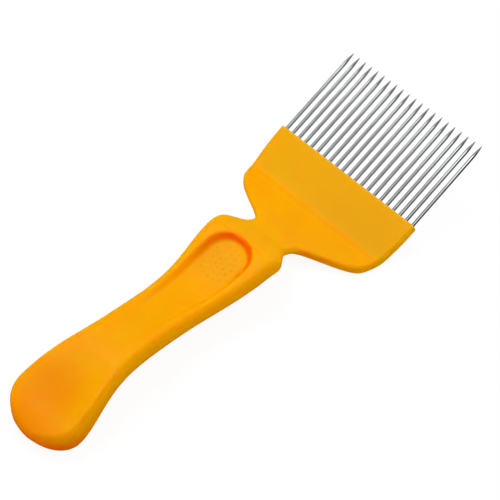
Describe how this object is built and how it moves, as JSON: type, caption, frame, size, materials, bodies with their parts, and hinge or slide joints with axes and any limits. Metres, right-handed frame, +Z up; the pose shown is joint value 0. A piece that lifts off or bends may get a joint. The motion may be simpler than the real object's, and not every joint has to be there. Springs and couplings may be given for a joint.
{
  "type": "uncapping fork",
  "caption": "Beekeeper's uncapping fork: moulded plastic handle with thumb recess and finger notches, and a wide head holding a row of straight steel needles.",
  "frame": {"origin": "middle of the fork's footprint, on the surface it lies on", "axes": "+X towards the needle points, along the handle; +Y across the head; +Z up, away from the surface it lies on"},
  "size_m": [0.1923, 0.0674, 0.0261],
  "materials": {
    "handle_plastic": "satin injection-moulded orange-yellow polypropylene, smooth, with fine raised dots in the thumb recess",
    "needle_steel": "bright polished stainless wire with ground points"
  },
  "bodies": {
    "root": {"handle": "handle_plastic", "needle_01": "needle_steel", "needle_02": "needle_steel", "needle_03": "needle_steel", "needle_04": "needle_steel", "needle_05": "needle_steel", "needle_06": "needle_steel", "needle_07": "needle_steel", "needle_08": "needle_steel", "needle_09": "needle_steel", "needle_10": "needle_steel", "needle_11": "needle_steel", "needle_12": "needle_steel", "needle_13": "needle_steel", "needle_14": "needle_steel", "needle_15": "needle_steel", "needle_16": "needle_steel", "needle_17": "needle_steel", "needle_18": "needle_steel", "needle_19": "needle_steel", "needle_20": "needle_steel", "needle_21": "needle_steel"}
  },
  "joints": []
}
